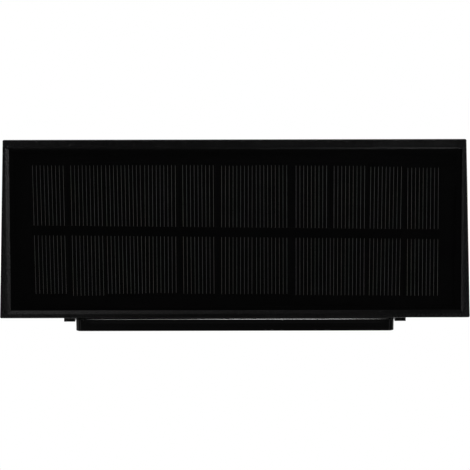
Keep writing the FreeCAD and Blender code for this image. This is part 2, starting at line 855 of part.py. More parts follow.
def reflector_tray():
    """White tray behind the lens, open towards it, with a hole for each LED."""
    width = lens_width - 2 * tray_margin
    depth = lens_depth - 2 * tray_margin
    tray = centred_box(width, depth, 0, lens_y, tray_bottom_w, led_board_w)
    tray = round_upright(tray, lens_corner_radius)
    hollow = centred_box(width - 2 * tray_wall, depth - 2 * tray_wall, 0, lens_y,
                         tray_bottom_w - 1, led_board_w - tray_wall)
    tray = tray.cut(hollow)
    for x in led_places():
        tray = tray.cut(centred_box(led_hole, led_hole, x, lens_y, tray_bottom_w, led_board_w + 1))
    return on_window(tray)


def led_board():
    """Long board that carries the LEDs."""
    board = centred_box(led_board_length, led_board_depth, 0, lens_y, led_board_w, led_board_top_w)
    for side in (-1, 1):
        board = board.cut(cylinder(small_hole_radius, side * led_screw_x, lens_y,
                                   led_board_w - 1, led_board_top_w + 1))
    return on_window(board)


def leds():
    """Row of surface-mounted LEDs with their yellow fill facing the lens."""
    return [on_window(centred_box(led_length, led_width, x, lens_y, led_board_w - led_height,
                                  led_board_w)) for x in led_places()]


def led_screws():
    """Two screws that hold the LED board and clamp the tray and the lens."""
    bite = board_thickness + small_screw_bite
    return [on_window(pan_screw(side * led_screw_x, lens_y, led_board_top_w, True,
                                small_head_radius, small_head_height, small_shaft_radius, bite))
            for side in (-1, 1)]


# ---- Control board, switch and button ----

def standoffs_at():
    """Places of the control board's two screws."""
    front = control_board_rear - control_board_depth + standoff_inset
    rear = control_board_rear - standoff_inset
    return [(control_board_x + standoff_inset, rear),
            (control_board_x + control_board_length - standoff_inset, front)]


def control_board():
    """Board with the charging circuit, over the switch."""
    board = box(control_board_x, control_board_rear - control_board_depth, control_board_z,
                control_board_x + control_board_length, control_board_rear, control_board_top_z)
    for x, y in standoffs_at():
        board = board.cut(cylinder(small_hole_radius, x, y, control_board_z - 1,
                                   control_board_top_z + 1))
    return board


def board_parts():
    """Coil, capacitors, chips and a row of resistors on the control board."""
    top = control_board_top_z
    middle = control_board_rear - control_board_depth / 2
    parts = [cylinder(coil_radius, button_x + coil_offset, middle, top, top + coil_height)]
    for step in (1, 2):
        x = button_x - coil_offset - capacitor_pitch * (step - 1)
        parts.append(cylinder(capacitor_radius, x, middle + chip_offset, top,
                              top + capacitor_height))
    for side in (-1, 1):
        parts.append(centred_box(chip_length, chip_width, button_x, middle + side * chip_offset,
                                 top, top + chip_height))
    for step in range(resistor_count):
        x = button_x + (step - 1) * resistor_pitch
        y = control_board_rear - control_board_depth + resistor_length
        parts.append(centred_box(resistor_width, resistor_length, x, y, top,
                                 top + resistor_height))
    return parts


def board_screws():
    """Two screws that hold the control board."""
    bite = board_thickness + small_screw_bite
    return [pan_screw(x, y, control_board_top_z, True, small_head_radius, small_head_height,
                      small_shaft_radius, bite) for x, y in standoffs_at()]


def socket_at(x, y, width, depth):
    """Connector block on the control board."""
    return centred_box(width, depth, x, y, control_board_top_z, control_board_top_z + socket_height)


def socket_places():
    """Centres of the battery, panel and LED sockets."""
    front = control_board_rear - control_board_depth + socket_edge + socket_depth / 2
    battery = (control_board_x + socket_edge + socket_depth / 2,
               control_board_rear - control_board_depth / 2)
    panel = (button_x - coil_offset, front)
    led = (control_board_x + control_board_length - socket_edge - socket_depth / 2,
           control_board_rear - socket_edge - socket_length / 2)
    return battery, panel, led


def board_sockets():
    """Two-pin sockets for the battery, panel and LED leads."""
    battery, panel, led = socket_places()
    return [socket_at(battery[0], battery[1], socket_depth, socket_length),
            socket_at(panel[0], panel[1], socket_length, socket_depth),
            socket_at(led[0], led[1], socket_depth, socket_length)]


def switch_bottom():
    """Height of the switch's underside."""
    return control_board_z - switch_height


def flange_top():
    """Height of the button flange's top, which the plunger stands on."""
    return inner_floor_z + button_seal_thickness + button_seal_clearance + button_flange_thickness


def switch_body():
    """Latching push switch under the board."""
    body = centred_box(switch_width, switch_width, button_x, button_y, switch_bottom(),
                       control_board_z)
    foot = centred_box(switch_width + 2, switch_width - 2, button_x, button_y,
                       control_board_z - switch_foot, control_board_z)
    body = body.fuse(foot)
    bore_top = flange_top() + button_travel + plunger_length() + switch_bore_clearance
    body = body.cut(cylinder(plunger_radius + plunger_clearance, button_x, button_y,
                             switch_bottom() - 1, bore_top))
    return body.removeSplitter()


def plunger_length():
    """Length of the plunger, from the button to its inner end at rest."""
    return switch_bottom() - flange_top() + plunger_depth - button_travel / 2


def switch_plunger():
    """Plunger between the button and the switch."""
    return cylinder(plunger_radius, button_x, button_y, flange_top(),
                    flange_top() + plunger_length())


def button_cap():
    """Round push button with an inner flange that keeps it in the cover."""
    stem_bottom = bottom_z + button_sink
    flange_bottom = flange_top() - button_flange_thickness
    stem = cylinder(button_radius, button_x, button_y, stem_bottom, flange_bottom)
    rim = [edge for edge in stem.Edges if edge.BoundBox.ZMax < stem_bottom + 0.001]
    stem = stem.makeFillet(button_edge_round, rim)
    flange = cylinder(button_flange_radius, button_x, button_y, flange_bottom, flange_top())
    dish = Part.makeSphere(button_dish_radius, V(button_x, button_y, stem_bottom
                                                 + button_dish_depth - button_dish_radius))
    return stem.fuse(flange).removeSplitter().cut(dish)


def button_seal():
    """Soft ring on the cover's inside, under the button's flange."""
    ring = cylinder(button_seal_radius, button_x, button_y, inner_floor_z,
                    inner_floor_z + button_seal_thickness)
    hole = button_radius + button_seal_clearance
    return ring.cut(cylinder(hole, button_x, button_y, inner_floor_z - 1,
                             inner_floor_z + button_seal_thickness + 1))


# ---- Battery ----

def battery_cell():
    """Steel can with its raised positive end."""
    right = battery_left + battery_length
    can = along_x(battery_radius, cradle_axis_y, battery_axis_z, battery_left, right)
    nub = along_x(battery_nub_radius, cradle_axis_y, battery_axis_z, right,
                  right + battery_nub_height)
    return can.fuse(nub).removeSplitter()


def battery_sleeve():
    """Shrunk film round the can."""
    margin = 0.3
    left, right = battery_left + margin, battery_left + battery_length - margin
    outer = along_x(battery_radius + sleeve_thickness, cradle_axis_y, battery_axis_z, left, right)
    return outer.cut(along_x(battery_radius, cradle_axis_y, battery_axis_z, left - 1, right + 1))


def battery_cradle():
    """Tray with end walls and low sides that holds the cell."""
    bore = battery_radius + sleeve_thickness + cradle_clearance
    half = bore + cradle_side
    low_side = battery_axis_z - cradle_side_drop
    block = box(cradle_left, cradle_axis_y - half, inner_floor_z, cradle_right,
                cradle_axis_y + half, low_side)
    for left in (cradle_left, cradle_right - cradle_end_wall):
        block = block.fuse(box(left, cradle_axis_y - half, inner_floor_z, left + cradle_end_wall,
                               cradle_axis_y + half,
                               battery_axis_z + cradle_end_rise))
    block = block.cut(along_x(bore, cradle_axis_y, battery_axis_z, cradle_left + cradle_end_wall,
                              cradle_right - cradle_end_wall))
    room = body_block(wall + tongue_clearance + tongue_thickness + 0.2, wall,
                      base_thickness, wall + tongue_clearance + tongue_thickness + 0.2, 0)
    return block.common(room).removeSplitter()


def contact(inner_x, outer_x, bulge):
    """Bent strip from a cradle end wall to the cell, with a solder tab above the wall."""
    low = battery_axis_z - contact_half_height
    high = battery_axis_z + contact_half_height
    tab_top = high + contact_tab_height
    direction = math.copysign(1, inner_x - outer_x)
    face = outer_x + direction * contact_thickness
    y0, y1 = cradle_axis_y - contact_width / 2, cradle_axis_y + contact_width / 2
    plate = box(min(outer_x, face), y0, low, max(outer_x, face), y1, tab_top)
    if not bulge:
        return plate
    bow = [(face, low + 0.5), (inner_x - direction * contact_thickness, battery_axis_z - 0.8),
           (inner_x - direction * contact_thickness, battery_axis_z + 0.8), (face, high - 1.2)]
    outer = [(face, low + 0.1), (inner_x, battery_axis_z - 1.1),
             (inner_x, battery_axis_z + 1.1), (face, high - 0.8)]
    corners = [V(x, y0, z) for x, z in outer + bow[::-1]]
    leaf = Part.Face(Part.makePolygon(corners + corners[:1])).extrude(V(0, y1 - y0, 0))
    return plate.fuse(leaf).removeSplitter()


def battery_spring():
    """Sprung strip that presses on the cell's flat end."""
    return contact(battery_left, cradle_left + cradle_end_wall, True)


def battery_contact():
    """Flat strip that the cell's raised end bears on."""
    wall_face = cradle_right - cradle_end_wall
    return contact(wall_face - contact_thickness, wall_face, False)


# ---- Leads ----

def lead_pair(points):
    """Two leads side by side along X."""
    spread = V(lead_pair_spacing / 2, 0, 0)
    return [lead([point + spread * side for point in points]) for side in (-1, 1)]


def panel_leads():
    """Pair from the panel's board down to the control board."""
    x, y = socket_places()[1]
    top = panel_point(grommet_x, grommet_v, backboard_bottom_w)
    below = panel_point(grommet_x, grommet_v, floor_bottom_w - 2 * grommet_flange - lead_bend)
    socket_top = control_board_top_z + socket_height
    return lead_pair([top, below, V(x, y, socket_top + lead_drop), V(x, y, socket_top)])


def battery_leads():
    """One lead from each of the cell's contacts, over the cell, to the control board."""
    x, y = socket_places()[0]
    socket_top = control_board_top_z + socket_height
    tab_top = battery_axis_z + contact_half_height + contact_tab_height
    over = battery_axis_z + battery_radius + sleeve_thickness + lead_over
    left_tab = cradle_left + cradle_end_wall + contact_thickness / 2
    right_tab = cradle_right - cradle_end_wall - contact_thickness / 2
    spread = lead_pair_spacing / 2
    minus = lead([V(left_tab, cradle_axis_y - spread, tab_top),
                  V(left_tab, cradle_axis_y - spread, over),
                  V(x, cradle_axis_y - spread, over), V(x, y - spread, socket_top + lead_over),
                  V(x, y - spread, socket_top)])
    plus = lead([V(right_tab, cradle_axis_y + spread, tab_top),
                 V(right_tab, cradle_axis_y + spread, over),
                 V(x, y + spread, over), V(x, y + spread, socket_top)])
    return [minus, plus]


def led_leads():
    """Pair from the LED board back to the control board."""
    x, y = socket_places()[2]
    edge = lens_y + led_board_depth / 2 - lead_pair_spacing
    start = window_point(x, edge, led_board_top_w)
    rise = window_point(x, edge, led_board_top_w + lead_over)
    socket_top = control_board_top_z + socket_height
    return lead_pair([start, rise, V(x, y, socket_top + lead_drop), V(x, y, socket_top)])


# ---- Nodes ----

save("fence_bracket", fence_bracket())
save("housing", housing())
save("solar_backboard", solar_backboard())
save("solar_cells", *solar_cells())
save("cell_ribbons", *cell_ribbons())
save("ribbon_mask", ribbon_mask())
save("panel_cover", panel_cover())
save("panel_sealant", panel_sealant())
save("panel_adhesive", *panel_adhesive())
save("lead_grommet", lead_grommet())
save("base_cover", base_cover())
save("base_gasket", base_gasket())
save("base_screws", *base_screws())
save("lens", lens())
save("lens_gasket", lens_gasket())
save("reflector_tray", reflector_tray())
save("led_board", led_board())
save("leds", *leds())
save("led_screws", *led_screws())
save("control_board", control_board())
save("board_parts", *board_parts())
save("board_sockets", *board_sockets())
save("board_screws", *board_screws())
save("switch_body", switch_body())
save("switch_plunger", switch_plunger())
save("button_cap", button_cap())
save("button_seal", button_seal())
save("battery_cell", battery_cell())
save("battery_sleeve", battery_sleeve())
save("battery_cradle", battery_cradle())
save("battery_spring", battery_spring())
save("battery_contact", battery_contact())
save("panel_leads", *panel_leads())
save("battery_leads", *battery_leads())
save("led_leads", *led_leads())
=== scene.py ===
import math

import bmesh
import bpy
from mathutils import Matrix, Vector


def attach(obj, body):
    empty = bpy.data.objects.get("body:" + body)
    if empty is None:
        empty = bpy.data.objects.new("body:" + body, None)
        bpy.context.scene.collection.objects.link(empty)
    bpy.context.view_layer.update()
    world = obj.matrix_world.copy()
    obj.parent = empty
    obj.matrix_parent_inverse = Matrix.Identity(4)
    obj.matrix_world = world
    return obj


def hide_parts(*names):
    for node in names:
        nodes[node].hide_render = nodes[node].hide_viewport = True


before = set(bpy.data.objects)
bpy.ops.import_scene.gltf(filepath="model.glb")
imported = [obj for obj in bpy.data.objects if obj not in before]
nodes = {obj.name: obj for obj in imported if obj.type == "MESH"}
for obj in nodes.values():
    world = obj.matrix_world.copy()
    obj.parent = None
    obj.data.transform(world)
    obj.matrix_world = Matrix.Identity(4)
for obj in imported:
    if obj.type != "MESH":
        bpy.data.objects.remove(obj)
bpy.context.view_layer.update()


# ---- Fence bracket ----
# A black moulded plate with two hooks, screwed flat to the fence. The mould is polished for
# the side towards the lamp, between the plate's ends, and leaves the ribbed back dull.

MM = 0.001

# The polish fades out towards the plate's ends, and between these depths from the fence.
POLISHED_HALF_WIDTH = 57.0 * MM
POLISH_ENDS = 62.0 * MM
POLISHED_FROM_DEPTH = 3.6 * MM
DULL_TO_DEPTH = 2.8 * MM


def put(tree, kind, inputs=None, **settings):
    """Adds a node to a tree, with its settings and its sockets' values or links."""
    made = tree.nodes.new(kind)
    for name, value in settings.items():
        setattr(made, name, value)
    for name, value in (inputs or {}).items():
        socket = made.inputs[name]
        if isinstance(value, bpy.types.NodeSocket):
            tree.links.new(value, socket)
        else:
            socket.default_value = value
    return made


def new_group(name, inputs, outputs):
    """A shader group with named float, colour or vector sockets."""
    tree = bpy.data.node_groups.new(name, "ShaderNodeTree")
    for socket, (kind, value) in inputs.items():
        made = tree.interface.new_socket(name=socket, in_out="INPUT", socket_type=kind)
        if value is not None:
            made.default_value = value
    for socket, kind in outputs.items():
        tree.interface.new_socket(name=socket, in_out="OUTPUT", socket_type=kind)
    return tree, tree.nodes.new("NodeGroupInput"), tree.nodes.new("NodeGroupOutput")


def build_cloudy():
    """Slow cloudy change, as handling and mould flow leave on a surface: 0 to 1."""
    tree, given, result = new_group(
        "cloudy_change",
        {"Place": ("NodeSocketVector", None), "Patch Size": ("NodeSocketFloat", 0.02)},
        {"Amount": "NodeSocketFloat"})
    scale = put(tree, "ShaderNodeMath", {0: 1.0, 1: given.outputs["Patch Size"]}, operation="DIVIDE")
    noise = put(tree, "ShaderNodeTexNoise",
                {"Vector": given.outputs["Place"], "Scale": scale.outputs[0],
                 "Detail": 4.0, "Roughness": 0.55})
    spread = put(tree, "ShaderNodeMapRange",
                 {"Value": noise.outputs["Fac"], "From Min": 0.3, "From Max": 0.7},
                 interpolation_type="SMOOTHSTEP")
    tree.links.new(spread.outputs["Result"], result.inputs["Amount"])
    return tree


def build_grain():
    """Spark-eroded mould grain: small rounded pits and bumps of one size, as height and as a mask."""
    tree, given, result = new_group(
        "mould_grain",
        {"Place": ("NodeSocketVector", None), "Grain Size": ("NodeSocketFloat", 0.0004)},
        {"Height": "NodeSocketFloat", "Speckle": "NodeSocketFloat"})
    scale = put(tree, "ShaderNodeMath", {0: 1.0, 1: given.outputs["Grain Size"]}, operation="DIVIDE")
    coarse = put(tree, "ShaderNodeTexNoise",
                 {"Vector": given.outputs["Place"], "Scale": scale.outputs[0],
                  "Detail": 2.0, "Roughness": 0.6})
    pits = put(tree, "ShaderNodeTexVoronoi",
               {"Vector": given.outputs["Place"], "Scale": scale.outputs[0], "Randomness": 1.0},
               feature="SMOOTH_F1")
    height = put(tree, "ShaderNodeMath",
                 {0: coarse.outputs["Fac"], 1: pits.outputs["Distance"]}, operation="ADD")
    tree.links.new(height.outputs[0], result.inputs["Height"])
    speckle = put(tree, "ShaderNodeMapRange",
                  {"Value": coarse.outputs["Fac"], "From Min": 0.38, "From Max": 0.62})
    tree.links.new(speckle.outputs["Result"], result.inputs["Speckle"])
    return tree


cloudy_change = build_cloudy()
mould_grain = build_grain()


def new_finish(name, **constants):
    """A material with its Principled shader, and the place on the object that patterns read."""
    material = bpy.data.materials.new(name)
    material.use_nodes = True
    tree = material.node_tree
    shader = tree.nodes["Principled BSDF"]
    for socket, value in constants.items():
        shader.inputs[socket.replace("_", " ")].default_value = value
    place = put(tree, "ShaderNodeTexCoord").outputs["Object"]
    return material, tree, shader, place


def mix_colour(tree, amount, first, second):
    """Goes from the first colour to the second as amount goes from 0 to 1."""
    made = put(tree, "ShaderNodeMix", {0: amount}, data_type="RGBA")
    for index, value in ((6, first), (7, second)):
        if isinstance(value, bpy.types.NodeSocket):
            tree.links.new(value, made.inputs[index])
        else:
            made.inputs[index].default_value = (*value, 1.0)
    return made.outputs[2]


def mix_value(tree, amount, first, second):
    """Goes from the first number to the second as amount goes from 0 to 1."""
    made = put(tree, "ShaderNodeMapRange", {"Value": amount, "To Min": first, "To Max": second})
    return made.outputs["Result"]


def raise_surface(tree, shader, height, depth, edge=0.0):
    """Feeds a height to the shader's normal, over edges softened to a small radius."""
    bump = put(tree, "ShaderNodeBump", {"Height": height, "Strength": 1.0, "Distance": depth})
    if edge:
        softened = put(tree, "ShaderNodeBevel", {"Radius": edge}, samples=4)
        tree.links.new(softened.outputs["Normal"], bump.inputs["Normal"])
    tree.links.new(bump.outputs["Normal"], shader.inputs["Normal"])


def moulded_finish(name, dark, light, grain, depth, rough, patch=0.018, edge=0.0, shine=0.5):
    """Moulded plastic: grain of one size and depth, and slow patches of colour and gloss."""
    material, tree, shader, place = new_finish(name, IOR=1.5, Specular_IOR_Level=shine)
    clouds = put(tree, "ShaderNodeGroup", node_tree=cloudy_change)
    tree.links.new(place, clouds.inputs["Place"])
    clouds.inputs["Patch Size"].default_value = patch
    pitted = put(tree, "ShaderNodeGroup", node_tree=mould_grain)
    tree.links.new(place, pitted.inputs["Place"])
    pitted.inputs["Grain Size"].default_value = grain
    tone = mix_value(tree, pitted.outputs["Speckle"], 0.15, 0.85)
    both = put(tree, "ShaderNodeMath", {0: tone, 1: clouds.outputs["Amount"]}, operation="ADD")
    half = put(tree, "ShaderNodeMath", {0: both.outputs[0], 1: 0.5}, operation="MULTIPLY")
    tree.links.new(mix_colour(tree, half.outputs[0], dark, light), shader.inputs["Base Color"])
    tree.links.new(mix_value(tree, clouds.outputs["Amount"], *rough), shader.inputs["Roughness"])
    raise_surface(tree, shader, pitted.outputs["Height"], depth, edge)
    return material


def dress(material, *names):
    """Gives CAD nodes their finish."""
    for name in names:
        for held in nodes[name].material_slots:
            held.material = material


bracket_plastic = moulded_finish("bracket_plastic", (0.0040, 0.0040, 0.0041), (0.0056, 0.0056, 0.0057),
                                 grain=0.0012, depth=0.0000008, rough=(0.09, 0.12), patch=0.03, shine=0.15)


def polish_bracket():
    """Puts a hard gloss on the side towards the lamp, between the plate's ends."""
    tree = bracket_plastic.node_tree
    shader = tree.nodes["Principled BSDF"]
    place = put(tree, "ShaderNodeTexCoord").outputs["Object"]
    along = put(tree, "ShaderNodeSeparateXYZ", {"Vector": place})
    from_middle = put(tree, "ShaderNodeMath", {0: along.outputs["X"]}, operation="ABSOLUTE")
    between = put(tree, "ShaderNodeMapRange",
                  {"Value": from_middle.outputs[0], "From Min": POLISH_ENDS, "From Max": POLISHED_HALF_WIDTH})
    towards_lamp = put(tree, "ShaderNodeMapRange",
                       {"Value": along.outputs["Y"], "From Min": -DULL_TO_DEPTH, "From Max": -POLISHED_FROM_DEPTH})
    polished = put(tree, "ShaderNodeMath",
                   {0: between.outputs["Result"], 1: towards_lamp.outputs["Result"]}, operation="MULTIPLY")
    tree.links.new(polished.outputs[0], shader.inputs["Coat Weight"])
    shader.inputs["Coat Roughness"].default_value = 0.06
    shader.inputs["Coat IOR"].default_value = 2.2


polish_bracket()
dress(bracket_plastic, "fence_bracket")


# ---- Housing ----
# One black moulding carries the rim round the panel, the walls and the ribbed back. The
# mould is spark eroded, so the plastic has an even, fine matt grain.

housing_plastic = moulded_finish("housing_plastic", (0.0016, 0.0016, 0.0017), (0.0044, 0.0044, 0.0045),
                                 grain=0.0006, depth=0.00008, rough=(0.17, 0.21), shine=0.27)
dress(housing_plastic, "housing")


# ---- Base cover, its gasket and screws ----
# The lower shell is moulded like the housing and closes it from below on a soft gasket,
# with four pan head screws of plated steel.

base_plastic = moulded_finish("base_plastic", (0.0018, 0.0018, 0.0019), (0.0046, 0.0046, 0.0047),
                              grain=0.00045, depth=0.00002, rough=(0.36, 0.42), edge=0.0003, shine=0.4)
dress(base_plastic, "base_cover", "battery_cradle")

soft_black = moulded_finish("soft_black_rubber", (0.006, 0.006, 0.006), (0.014, 0.014, 0.014),
                            grain=0.0003, depth=0.00001, rough=(0.62, 0.75))
dress(soft_black, "base_gasket", "lead_grommet")


def metal_finish(name, dark, light, rough, grain=0.0006):
    """Plated or rolled metal with a slightly uneven shine."""
    material, tree, shader, place = new_finish(name, Metallic=1.0)
    clouds = put(tree, "ShaderNodeGroup", node_tree=cloudy_change)
    tree.links.new(place, clouds.inputs["Place"])
    clouds.inputs["Patch Size"].default_value = 0.002
    pitted = put(tree, "ShaderNodeGroup", node_tree=mould_grain)
    tree.links.new(place, pitted.inputs["Place"])
    pitted.inputs["Grain Size"].default_value = grain
    tree.links.new(mix_colour(tree, clouds.outputs["Amount"], dark, light), shader.inputs["Base Color"])
    tree.links.new(mix_value(tree, pitted.outputs["Speckle"], *rough), shader.inputs["Roughness"])
    raise_surface(tree, shader, pitted.outputs["Height"], 0.000003)
    return material


screw_metal = metal_finish("screw_steel", (0.42, 0.42, 0.41), (0.60, 0.60, 0.59), (0.22, 0.38))
dress(screw_metal, "base_screws", "led_screws", "board_screws")


# ---- Solar panel ----
# Eleven cut cells stand side by side on a black board. Each has two rows of thin printed
# silver fingers, and flat tinned strips under a black tape join the cells in the middle.

backboard_black = moulded_finish("backboard_black", (0.0005, 0.0005, 0.0005), (0.0008, 0.0008, 0.0008),
                                 grain=0.0005, depth=0.000003, rough=(0.45, 0.55), shine=0.05)
dress(backboard_black, "solar_backboard")


def cell_finish():
    """Dark blue-black silicon with faint crystal grains, and dull cut edges."""
    material, tree, shader, place = new_finish("solar_cell", IOR=1.5, Specular_IOR_Level=0.04)
    crystals = put(tree, "ShaderNodeTexVoronoi", {"Vector": place, "Scale": 260.0, "Randomness": 1.0})
    tone = put(tree, "ShaderNodeSeparateColor", {0: crystals.outputs["Color"]})
    grained = mix_colour(tree, tone.outputs[0], (0.0004, 0.0004, 0.0005), (0.0009, 0.0009, 0.0011))
    normal = put(tree, "ShaderNodeNewGeometry").outputs["True Normal"]
    upward = put(tree, "ShaderNodeSeparateXYZ", {"Vector": normal}).outputs["Z"]
    faces_up = put(tree, "ShaderNodeMapRange", {"Value": upward, "From Min": 0.5, "From Max": 0.9})
    top = faces_up.outputs["Result"]
    tree.links.new(mix_colour(tree, top, (0.0001, 0.0001, 0.0001), grained), shader.inputs["Base Color"])
    tree.links.new(mix_value(tree, top, 1.0, mix_value(tree, tone.outputs[1], 0.36, 0.44)),
                   shader.inputs["Roughness"])
    raise_surface(tree, shader, crystals.outputs["Distance"], 0.000002)
    return material


dress(cell_finish(), "solar_cells")

tinned_strip = metal_finish("tinned_strip", (0.55, 0.55, 0.54), (0.72, 0.72, 0.70), (0.25, 0.40))

black_film = moulded_finish("black_film", (0.0003, 0.0003, 0.0003), (0.0005, 0.0005, 0.0005),
                            grain=0.001, depth=0.000002, rough=(0.45, 0.55), shine=0.04)

# The panel's own frame: origin on the rim's rear edge, Y towards the fence, Z out of the panel.
PANEL_SLOPE = math.radians(5.0)
PANEL_ORIGIN = Vector((0.0, -6.18, 24.7)) * MM
CELL_TOP = -1.9 * MM

# Across the fence, the place of each cell's first finger in mm, how far its fingers lean in
# degrees, how many fingers its front and its rear row have, and how far the front row starts
# and the rear row ends from the usual place.
FINGER_SETS = ((80.33, -0.51, 9, 9, 0.4, 0.0), (65.17, -0.34, 9, 9, 0.3, 0.7),
               (51.15, -0.47, 10, 10, 0.15, -0.15), (35.83, 0.01, 9, 9, 0.1, -0.5),
               (20.63, -0.18, 9, 9, -0.05, -0.3), (5.24, 0.14, 9, 9, 0.1, -0.25),
               (-8.70, -0.24, 9, 9, -0.2, -0.35), (-24.59, -0.18, 9, 10, -0.1, 0.0),
               (-39.74, -0.12, 9, 9, -0.1, 0.0), (-54.24, 0.22, 9, 9, 0.2, 0.0),
               (-69.26, -0.37, 9, 9, 0.5, 0.0))
FINGER_PITCH = 1.524 * MM
FINGER_WIDTH = 0.11 * MM
FINGER_THICKNESS = 0.015 * MM
FINGER_MIDDLE = -35.9 * MM
ROW_SLANT = math.tan(math.radians(0.42))
FRONT_ROW = (-61.6 * MM, -36.4 * MM)
REAR_ROW = (-34.0 * MM, -9.25 * MM)


def block(corners, low, high):
    """A plain block in the panel's frame, from its two opposite corners and its two heights."""
    (x_low, v_low), (x_high, v_high) = corners
    shape = bmesh.new()
    bmesh.ops.create_cube(shape, size=1.0)
    bmesh.ops.scale(shape, verts=shape.verts, vec=(x_high - x_low, v_high - v_low, high - low))
    bmesh.ops.translate(shape, verts=shape.verts,
                        vec=((x_low + x_high) / 2, (v_low + v_high) / 2, (low + high) / 2))
    return shape


def slab(name, corners, low, high, turn, centre):
    """A flat plate in the panel's frame between two heights, turned about its centre."""
    shape = block(corners, low, high)
    bmesh.ops.rotate(shape, verts=shape.verts, cent=(*centre, 0.0), matrix=Matrix.Rotation(turn, 3, "Z"))
    return on_panel(name, shape)


def on_panel(name, shape):
    """Lays a shape made in the panel's frame on the lamp and makes it a piece."""
    bmesh.ops.transform(shape, verts=shape.verts,
                        matrix=Matrix.Translation(PANEL_ORIGIN) @ Matrix.Rotation(PANEL_SLOPE, 4, "X"))
    mesh = bpy.data.meshes.new(name)
    shape.to_mesh(mesh)
    shape.free()
    piece = bpy.data.objects.new(name, mesh)
    bpy.context.scene.collection.objects.link(piece)
    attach(piece, "lamp")
    return piece


def silver_paste():
    """Fired silver paste: greyish, slightly rough metal."""
    material, tree, shader, place = new_finish("silver_paste", Metallic=1.0)
    clouds = put(tree, "ShaderNodeGroup", node_tree=cloudy_change)
    tree.links.new(place, clouds.inputs["Place"])
    clouds.inputs["Patch Size"].default_value = 0.006
    amount = clouds.outputs["Amount"]
    tree.links.new(mix_colour(tree, amount, (0.175, 0.175, 0.172), (0.235, 0.235, 0.23)),
                   shader.inputs["Base Color"])
    tree.links.new(mix_value(tree, amount, 0.42, 0.55), shader.inputs["Roughness"])
    return material


def new_mesh_tree(name, inputs):
    """A Geometry Nodes tree with a geometry in and out and named sizes."""
    tree = bpy.data.node_groups.new(name, "GeometryNodeTree")
    tree.interface.new_socket(name="Geometry", in_out="INPUT", socket_type="NodeSocketGeometry")
    for socket, kind in inputs.items():
        tree.interface.new_socket(name=socket, in_out="INPUT", socket_type=kind)
    tree.interface.new_socket(name="Geometry", in_out="OUTPUT", socket_type="NodeSocketGeometry")
    return tree, tree.nodes.new("NodeGroupInput"), tree.nodes.new("NodeGroupOutput")


def grow(name, points, attributes, tree, sizes, body):
    """Runs a tree on loose points that carry attributes, and makes the result one plain piece."""
    seed = bpy.data.meshes.new(name + "_points")
    seed.from_pydata(points, [], [])
    for attribute, (kind, values) in attributes.items():
        seed.attributes.new(attribute, kind, "POINT").data.foreach_set("value", values)
    grower = bpy.data.objects.new(name + "_points", seed)
    bpy.context.scene.collection.objects.link(grower)
    modifier = grower.modifiers.new(name, "NODES")
    modifier.node_group = tree
    for socket in tree.interface.items_tree:
        if socket.in_out == "INPUT" and socket.name in sizes:
            modifier[socket.identifier] = sizes[socket.name]
    shown = grower.evaluated_get(bpy.context.evaluated_depsgraph_get())
    mesh = bpy.data.meshes.new_from_object(shown)
    bpy.data.objects.remove(grower)
    piece = bpy.data.objects.new(name, mesh)
    bpy.context.scene.collection.objects.link(piece)
    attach(piece, body)
    return piece


def strip_tree(metal):
    """Copies each row's first strip across its row and lays the rows on the panel."""
    tree, given, result = new_mesh_tree("rows_of_strips", {
        "Pitch": "NodeSocketFloat", "Width": "NodeSocketFloat", "Thickness": "NodeSocketFloat",
        "Panel Place": "NodeSocketVector", "Panel Turn": "NodeSocketVector"})
    size = given.outputs
    points = put(tree, "GeometryNodeMeshToPoints", {"Mesh": size["Geometry"]})
    count = put(tree, "GeometryNodeInputNamedAttribute", {"Name": "count"}, data_type="INT")
    lean = put(tree, "GeometryNodeInputNamedAttribute", {"Name": "lean"}, data_type="FLOAT")
    length = put(tree, "GeometryNodeInputNamedAttribute", {"Name": "length"}, data_type="FLOAT")
    copies = put(tree, "GeometryNodeDuplicateElements",
                 {"Geometry": points.outputs["Points"], "Amount": count.outputs["Attribute"]}, domain="POINT")
    step = put(tree, "ShaderNodeMath", {0: copies.outputs["Duplicate Index"], 1: size["Pitch"]},
               operation="MULTIPLY")
    back = put(tree, "ShaderNodeMath", {0: step.outputs[0], 1: -1.0}, operation="MULTIPLY")
    move = put(tree, "ShaderNodeCombineXYZ", {"X": back.outputs[0]})
    placed = put(tree, "GeometryNodeSetPosition",
                 {"Geometry": copies.outputs["Geometry"], "Offset": move.outputs["Vector"]})
    strip_size = put(tree, "ShaderNodeCombineXYZ", {"X": size["Width"], "Y": 1.0, "Z": size["Thickness"]})
    strip = put(tree, "GeometryNodeMeshCube", {"Size": strip_size.outputs["Vector"]})
    stretch = put(tree, "ShaderNodeCombineXYZ", {"X": 1.0, "Y": length.outputs["Attribute"], "Z": 1.0})
    turn = put(tree, "ShaderNodeCombineXYZ", {"Z": lean.outputs["Attribute"]})
    strips = put(tree, "GeometryNodeInstanceOnPoints",
                 {"Points": placed.outputs["Geometry"], "Instance": strip.outputs["Mesh"],
                  "Rotation": turn.outputs["Vector"], "Scale": stretch.outputs["Vector"]})
    laid = put(tree, "GeometryNodeTransform",
               {"Geometry": strips.outputs["Instances"], "Translation": size["Panel Place"],
                "Rotation": size["Panel Turn"]})
    solid = put(tree, "GeometryNodeRealizeInstances", {"Geometry": laid.outputs["Geometry"]})
    coated = put(tree, "GeometryNodeSetMaterial", {"Geometry": solid.outputs["Geometry"], "Material": metal})
    tree.links.new(coated.outputs["Geometry"], result.inputs["Geometry"])
    return tree


